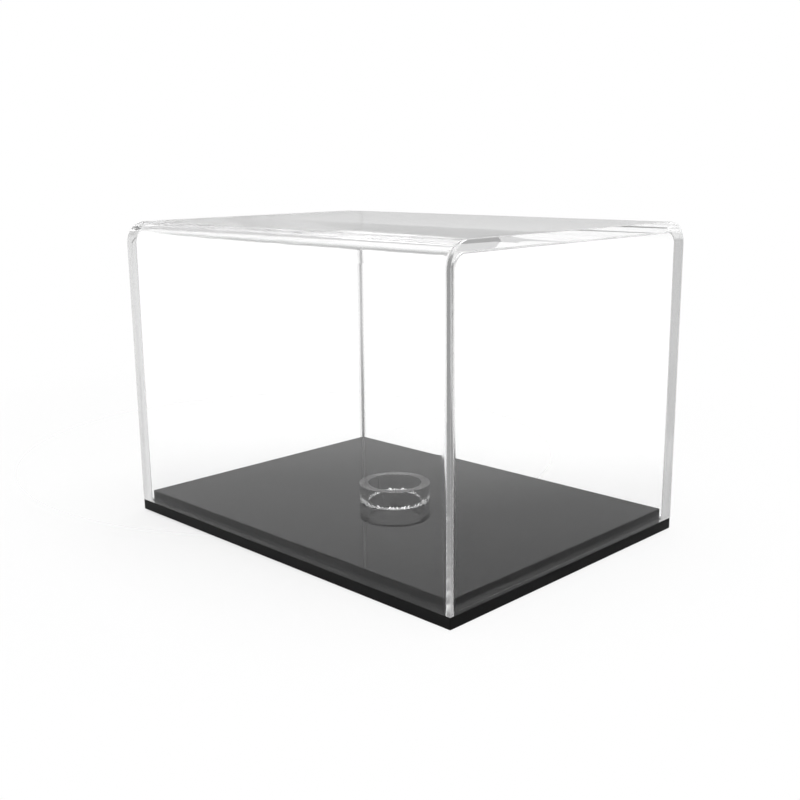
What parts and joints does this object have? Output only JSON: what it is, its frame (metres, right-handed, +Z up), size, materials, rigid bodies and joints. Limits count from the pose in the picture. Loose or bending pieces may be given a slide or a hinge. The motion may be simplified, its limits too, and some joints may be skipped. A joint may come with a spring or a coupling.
{
  "type": "display case",
  "caption": "Clear acrylic display case: a hot-bent hood that lifts off a stepped black base, with a loose clear ring that holds the displayed piece.",
  "frame": {"origin": "centre of the case on the surface that it stands on, midway between the soles of the four feet", "axes": "+Z up; +X along the long side towards the right end panel; +Y along the short side towards the back, so the hood's two bends run along X"},
  "size_m": [0.243, 0.181, 0.1685],
  "materials": {
    "black_acrylic": "black cast acrylic board, gloss faces, flame-polished edges",
    "clear_acrylic": "clear cast acrylic sheet, hot-bent and solvent-welded, polished edges",
    "clear_ring": "clear acrylic tube, turned and polished",
    "clear_bumper": "clear soft polyurethane bumper"
  },
  "bodies": {
    "base": {"base_board": "black_acrylic", "riser_board": "black_acrylic", "foot_front_left": "clear_bumper", "foot_front_right": "clear_bumper", "foot_rear_left": "clear_bumper", "foot_rear_right": "clear_bumper"},
    "hood": {"bent_cover": "clear_acrylic", "left_end_panel": "clear_acrylic", "right_end_panel": "clear_acrylic"},
    "ring": {"ring_stand": "clear_ring"}
  },
  "joints": [
    {"name": "hood_lift", "type": "slide", "parent": "base", "child": "hood", "axis": [0, 0, 1], "range_m": [0, 0.17]},
    {"name": "ring_lift", "type": "slide", "parent": "base", "child": "ring", "axis": [0, 0, 1], "range_m": [0, 0.12]}
  ]
}
